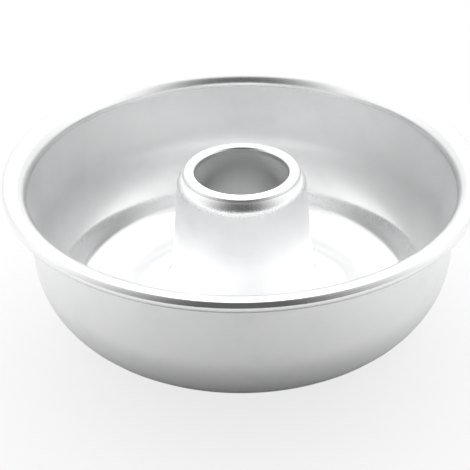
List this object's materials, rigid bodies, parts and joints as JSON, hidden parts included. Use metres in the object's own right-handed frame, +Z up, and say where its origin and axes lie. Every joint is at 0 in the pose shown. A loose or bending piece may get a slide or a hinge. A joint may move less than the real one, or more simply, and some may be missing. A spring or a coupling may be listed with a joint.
{
  "type": "tube cake pan",
  "caption": "Round spun aluminium tube cake pan: flared wall with a rolled rim, round-bottomed ring trough and a tapered open centre tube with a beaded lip.",
  "frame": {"origin": "centre of the pan's base, on the surface that it stands on", "axes": "+Z up along the axis of the bowl and the tube; the pan is round, so X and Y are any two level directions"},
  "size_m": [0.23, 0.23, 0.077],
  "materials": {
    "aluminium": "satin spun aluminium, with a brighter rolled rim and tube lip"
  },
  "bodies": {
    "root": {"pan": "aluminium"}
  },
  "joints": []
}
